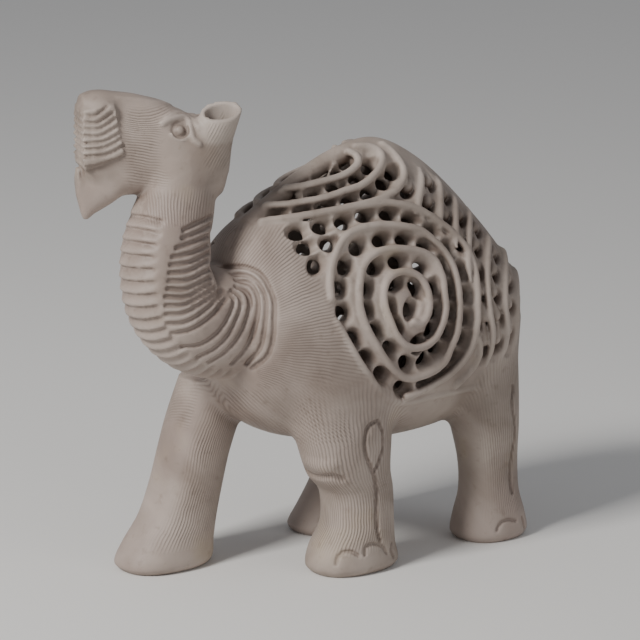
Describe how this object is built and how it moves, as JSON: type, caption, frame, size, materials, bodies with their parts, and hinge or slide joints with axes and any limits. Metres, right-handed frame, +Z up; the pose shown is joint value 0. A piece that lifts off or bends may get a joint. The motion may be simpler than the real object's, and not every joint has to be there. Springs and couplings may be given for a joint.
{
  "type": "soapstone camel carving",
  "caption": "Walking camel carved from one block of soapstone, its head turned aside, with a ridged neck and a hollow body pierced in spirals.",
  "frame": {"origin": "under the middle of the whole figure's box, on the surface that the soles stand on", "axes": "+X the way the body faces, +Y the camel's left, +Z up"},
  "size_m": [0.1244, 0.053, 0.1247],
  "materials": {
    "soapstone": "matt, hand-chiselled with fine hatching"
  },
  "bodies": {
    "root": {"camel": "soapstone"}
  },
  "joints": []
}
